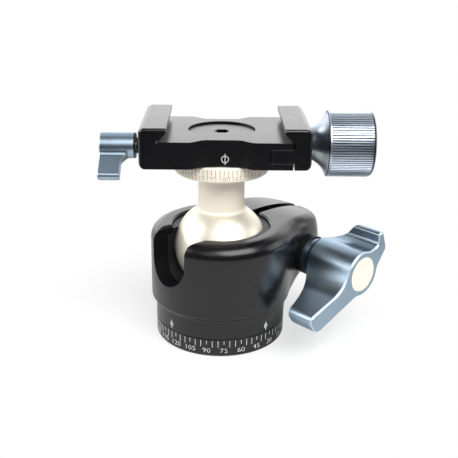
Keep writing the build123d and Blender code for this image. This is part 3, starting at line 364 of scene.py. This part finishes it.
assign(cream_turned("cream_turned", *BASE_AXIS), "pan_flange")
assign(plastic("white_inlay", INLAY_WHITE, 0.22, gloss=0.6), "lock_inlay")
assign(plastic("black_acetal", BLACK_ACETAL, 0.45, level=0.3), "lock_washer", "clamp_washer",
       "clamp_lock_spacer", "clamp_lock_ring", "socket_liner")
assign(plastic("natural_acetal", ACETAL, 0.4), "pan_bearing", "clamp_bearing", "ball_seat")
assign(turned_metal("steel_upright", STEEL, *BASE_AXIS), "thread_bush", "retainer_plate", "retainer_screws",
       "seat_spring", "flange_dowel")
assign(turned_metal("aluminium_turned", ALUMINIUM, *BASE_AXIS), "housing_floor")
assign(turned_metal("steel_lock", STEEL, *LOCK_AXIS), "lock_bolt")
assign(turned_metal("steel_clamp", STEEL, *SCREW_AXIS), "clamp_screw", "guide_pins", "jaw_springs")
assign(turned_metal("steel_clamp_lock", STEEL, *CLAMP_LOCK_AXIS), "clamp_lock_screw")
assign(turned_metal("steel_pan_lock", STEEL, *PAN_LOCK_AXIS), "pan_lock_screw")
assign(turned_metal("brass_clamp_lock", BRASS, *CLAMP_LOCK_AXIS), "clamp_lock_pad")
assign(turned_metal("brass_pan_lock", BRASS, *PAN_LOCK_AXIS), "pan_lock_pad")


# ---- Printed and engraved marks, as thin solids wrapped on their surfaces ----
def around(radius, azimuth):
    """Turns flat (across, up, out) millimetres into a place on a cylinder about Z, seen from outside."""
    def place(x, y, z):
        turn = radians(azimuth) + x / radius
        reach = radius + z
        return Vector((reach * cos(turn), reach * sin(turn), y)) * MM
    return place


def flat_front(y_face):
    """The same for a flat face that looks along -Y."""
    def place(x, y, z):
        return Vector((x, y_face - z, y)) * MM
    return place


def flat_top(z_face):
    """The same for a flat face that looks up."""
    def place(x, y, z):
        return Vector((x, y, z_face + z)) * MM
    return place


class Marks:
    """Collects bars, rings and figures into one mesh."""

    def __init__(self, low, high):
        self.mesh = bmesh.new()
        self.low, self.high = low, high

    def prism(self, outline, place):
        """A thin solid over a flat convex or ring outline given as quads of (x, y)."""
        for quad in outline:
            lower = [self.mesh.verts.new(place(x, y, self.low)) for x, y in quad]
            upper = [self.mesh.verts.new(place(x, y, self.high)) for x, y in quad]
            self.mesh.faces.new(upper)
            self.mesh.faces.new(lower[::-1])
            count = len(quad)
            for i in range(count):
                j = (i + 1) % count
                self.mesh.faces.new((lower[i], lower[j], upper[j], upper[i]))

    def bar(self, x, low, high, width, place):
        half = width / 2
        self.prism([[(x - half, low), (x + half, low), (x + half, high), (x - half, high)]], place)

    def ring(self, x, y, radius, width, place, steps=20):
        quads = []
        inner, outer = radius - width / 2, radius + width / 2
        for i in range(steps):
            a, b = 2 * pi * i / steps, 2 * pi * (i + 1) / steps
            corners = ((inner, a), (outer, a), (outer, b), (inner, b))
            quads.append([(x + reach * cos(turn), y + reach * sin(turn)) for reach, turn in corners])
        self.prism(quads, place)

    def figure(self, text, height, middle, place, widen=1.2, thin=0.03):
        """Numerals centred on x = 0, widened, with strokes thinned by a share of their height."""
        curve = bpy.data.curves.new("figure", "FONT")
        curve.body = text
        curve.size = height / 0.7
        curve.align_x = "CENTER"
        curve.resolution_u = 3
        curve.extrude = (self.high - self.low) / 2
        curve.offset = -thin * height
        obj = bpy.data.objects.new("figure", curve)
        bpy.context.scene.collection.objects.link(obj)
        bpy.context.view_layer.update()
        mesh = bpy.data.meshes.new_from_object(obj.evaluated_get(bpy.context.evaluated_depsgraph_get()))
        made = bmesh.new()
        made.from_mesh(mesh)
        centre = (self.low + self.high) / 2
        copies = {}
        for vert in made.verts:
            x, y, z = vert.co
            copies[vert] = self.mesh.verts.new(place(x * widen, y + middle - height / 2, z + centre))
        for face in made.faces:
            self.mesh.faces.new([copies[v] for v in face.verts])
        made.free()
        bpy.data.objects.remove(obj)
        bpy.data.curves.remove(curve)
        bpy.data.meshes.remove(mesh)

    def done(self, name, body, material):
        bmesh.ops.remove_doubles(self.mesh, verts=self.mesh.verts, dist=0.000001)
        bmesh.ops.recalc_face_normals(self.mesh, faces=self.mesh.faces)
        mesh = bpy.data.meshes.new(name)
        self.mesh.to_mesh(mesh)
        self.mesh.free()
        obj = bpy.data.objects.new(name, mesh)
        bpy.context.scene.collection.objects.link(obj)
        obj.data.materials.append(material)
        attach(obj, body)
        return obj


def scale(marks, radius, origin, top, long, short, height, middle, width):
    """A ring of ticks every 5 degrees, with a number every 15; the numbers fall as the azimuth rises.

    Origin is the azimuth of the zero. Numbered ticks are short, the others long, and all hang from top."""
    for step in range(72):
        number = step * 5
        place = around(radius, origin - number)
        numbered = number % 15 == 0
        marks.bar(0, top - (short if numbered else long), top, width, place)
        if numbered:
            marks.figure(str(number), height, middle, place)


def index(marks, place, x, low, high, radius, width):
    """An index mark: a line through a small ring."""
    marks.bar(x, low, high, width, place)
    marks.ring(x, (low + high) / 2, radius, width, place)


# Depth below the surface and height above it, in millimetres.
PRINT_LOW, PRINT_HIGH, ENGRAVED_HIGH = -0.02, 0.02, 0.012

white = ink("white_ink", WHITE_INK)
brown = ink("engraving", ENGRAVING)
grey = ink("grey_ink", GREY_INK)

base_marks = Marks(PRINT_LOW, PRINT_HIGH)
scale(base_marks, BASE_RADIUS, origin=-11.9, top=5.4, long=2.15, short=1.2, height=1.55, middle=2.15,
      width=0.135)
base_marks.done("base_scale", "base", white)

flange_marks = Marks(PRINT_LOW, ENGRAVED_HIGH)
scale(flange_marks, FLANGE_RADIUS, origin=93.0, top=57.1, long=2.3, short=1.6, height=1.35, middle=54.5,
      width=0.13)
flange_marks.done("flange_scale", "ball", brown)

body_marks = Marks(PRINT_LOW, PRINT_HIGH)
for turn in (0, 90, 180, 270):
    index(body_marks, around(BASE_RADIUS, BODY_AZIMUTH + turn), x=0, low=6.5, high=9.3, radius=0.55,
          width=0.2)
body_marks.done("housing_index", "housing", white)

clamp_marks = Marks(PRINT_LOW, PRINT_HIGH)
index(clamp_marks, flat_front(CLAMP_FRONT), x=0.9, low=58.5, high=61.7, radius=1.0, width=0.17)
clamp_marks.done("clamp_index", "clamp", white)


RULER_STEP = 2.8
RULER_HALF_WIDTH = 0.09


def ruler(marks, start, towards, place):
    """Plain graduations along a jaw's top, which start at one line and run towards its outer edge."""
    for step in range(-4, 5):
        reach = 2.4 if step % 2 == 0 else 1.5
        low, high = sorted((start, start + towards * reach))
        near, far = RULER_STEP * step - RULER_HALF_WIDTH, RULER_STEP * step + RULER_HALF_WIDTH
        marks.prism([[(low, near), (high, near), (high, far), (low, far)]], place)


fixed_ruler = Marks(PRINT_LOW, ENGRAVED_HIGH)
ruler(fixed_ruler, start=-18.6, towards=-1, place=flat_top(JAW_TOP))
fixed_ruler.done("fixed_jaw_ruler", "clamp", grey)
moving_ruler = Marks(PRINT_LOW, ENGRAVED_HIGH)
ruler(moving_ruler, start=20.6, towards=1, place=flat_top(JAW_TOP))
moving_ruler.done("moving_jaw_ruler", "moving_jaw", grey)


# ---- Floor, light and camera ----
FLOOR_RADIUS = 140.0
SHADE_NEAR, SHADE_FAR = 30.0, 80.0  # where the floor's shading starts to fade and where it has gone
GLOW_NEAR = 0.62  # share of plain white in the floor close to the object

PICTURE = 458
FOCAL_LENGTH = 788.898  # in pixels of the picture
SENSOR = 36.0
CAMERA_PLACE = (-1.345, -229.873, 122.274)
CAMERA_RIGHT = (0.99986, -0.01212, 0.01205)
CAMERA_UP = (-0.00690, 0.35916, 0.93325)
CAMERA_AHEAD = (0.01567, 0.93320, -0.35901)

ROOM_LIGHT = 0.05
BACKDROP_FADE = (-0.1, 0.4)  # of the direction's Y, from room to backdrop

# (name, place, target, size, radiance)
PANELS = (
    ("back", (0, 620, 240), (0, 0, 50), (1100, 420), 1.2),
    ("left", (-450, 20, 260), (0, 0, 40), (480, 380), 4.6),
    ("right", (200, -300, 440), (0, 0, 40), (460, 340), 8.6),
    ("front", (-80, -480, 430), (0, 0, 40), (420, 260), 1.8),
    ("card", (560, 60, 200), (0, 0, 50), (300, 300), 2.0),
)


def floor():
    """A pale disc that keeps the object's shadow and fades to plain white for the camera."""
    mesh = bmesh.new()
    bmesh.ops.create_circle(mesh, cap_ends=True, segments=64, radius=FLOOR_RADIUS * MM)
    data = bpy.data.meshes.new("floor")
    mesh.to_mesh(data)
    mesh.free()
    obj = bpy.data.objects.new("floor", data)
    bpy.context.scene.collection.objects.link(obj)
    t = Tree("pale_floor")
    nodes = t.tree.nodes
    output = nodes["Material Output"]
    nodes.remove(t.shader)
    t.shader = None
    spread = t.vector("LENGTH", t.coordinates.outputs["Object"])
    paper = t.node("ShaderNodeBsdfDiffuse", {"Color": PAPER})
    glow = t.node("ShaderNodeEmission", {"Color": WHITE, "Strength": 1.0})
    seen = t.node("ShaderNodeLightPath")
    fade = t.between(t.step(spread, SHADE_NEAR * MM, SHADE_FAR * MM), GLOW_NEAR, 1.0)
    share = t.math("MULTIPLY", seen.outputs["Is Camera Ray"], fade)
    both = t.node("ShaderNodeMixShader", {0: share, 1: paper.outputs[0], 2: glow.outputs[0]})
    t.tree.links.new(both.outputs[0], output.inputs["Surface"])
    obj.data.materials.append(t.material)


def panel(name, place, target, size, radiance):
    """A soft box at a place, turned to a target, both in millimetres; its size is in millimetres too."""
    light = bpy.data.lights.new(name, "AREA")
    light.shape = "RECTANGLE"
    light.size, light.size_y = size[0] * MM, size[1] * MM
    light.energy = radiance * pi * light.size * light.size_y
    obj = bpy.data.objects.new(name, light)
    obj.location = Vector(place) * MM
    obj.rotation_euler = (Vector(target) - Vector(place)).to_track_quat("-Z", "Y").to_euler()
    bpy.context.scene.collection.objects.link(obj)


def world():
    """A dim room with a white backdrop behind the object, which metal and gloss show too."""
    made = bpy.data.worlds.new("studio")
    made.use_nodes = True
    nodes, links = made.node_tree.nodes, made.node_tree.links
    room = nodes["Background"]
    room.inputs["Color"].default_value = (*WHITE, 1)
    room.inputs["Strength"].default_value = ROOM_LIGHT
    backdrop = nodes.new("ShaderNodeBackground")
    backdrop.inputs["Color"].default_value = (*WHITE, 1)
    backdrop.inputs["Strength"].default_value = 1.0
    ray = nodes.new("ShaderNodeLightPath")
    direction = nodes.new("ShaderNodeSeparateXYZ")
    links.new(nodes.new("ShaderNodeTexCoord").outputs["Generated"], direction.inputs[0])
    behind = nodes.new("ShaderNodeMapRange")
    behind.interpolation_type = "SMOOTHSTEP"
    behind.inputs["From Min"].default_value = BACKDROP_FADE[0]
    behind.inputs["From Max"].default_value = BACKDROP_FADE[1]
    links.new(direction.outputs["Y"], behind.inputs["Value"])
    glossy = nodes.new("ShaderNodeMath")
    glossy.operation = "MULTIPLY"
    links.new(ray.outputs["Is Glossy Ray"], glossy.inputs[0])
    links.new(behind.outputs["Result"], glossy.inputs[1])
    share = nodes.new("ShaderNodeMath")
    share.operation = "MAXIMUM"
    links.new(ray.outputs["Is Camera Ray"], share.inputs[0])
    links.new(glossy.outputs[0], share.inputs[1])
    mix = nodes.new("ShaderNodeMixShader")
    links.new(share.outputs[0], mix.inputs[0])
    links.new(room.outputs[0], mix.inputs[1])
    links.new(backdrop.outputs[0], mix.inputs[2])
    links.new(mix.outputs[0], nodes["World Output"].inputs["Surface"])
    bpy.context.scene.world = made


def camera():
    """The photo's camera, as fitted to it."""
    data = bpy.data.cameras.new("camera")
    data.sensor_width = SENSOR
    data.lens = FOCAL_LENGTH / PICTURE * SENSOR
    obj = bpy.data.objects.new("camera", data)
    turn = Matrix((Vector(CAMERA_RIGHT), Vector(CAMERA_UP), -Vector(CAMERA_AHEAD))).transposed().to_4x4()
    obj.matrix_world = Matrix.Translation(Vector(CAMERA_PLACE) * MM) @ turn
    bpy.context.scene.collection.objects.link(obj)
    bpy.context.scene.camera = obj


floor()
world()
camera()
for settings in PANELS:
    panel(*settings)

bpy.context.scene.view_settings.view_transform = "Standard"
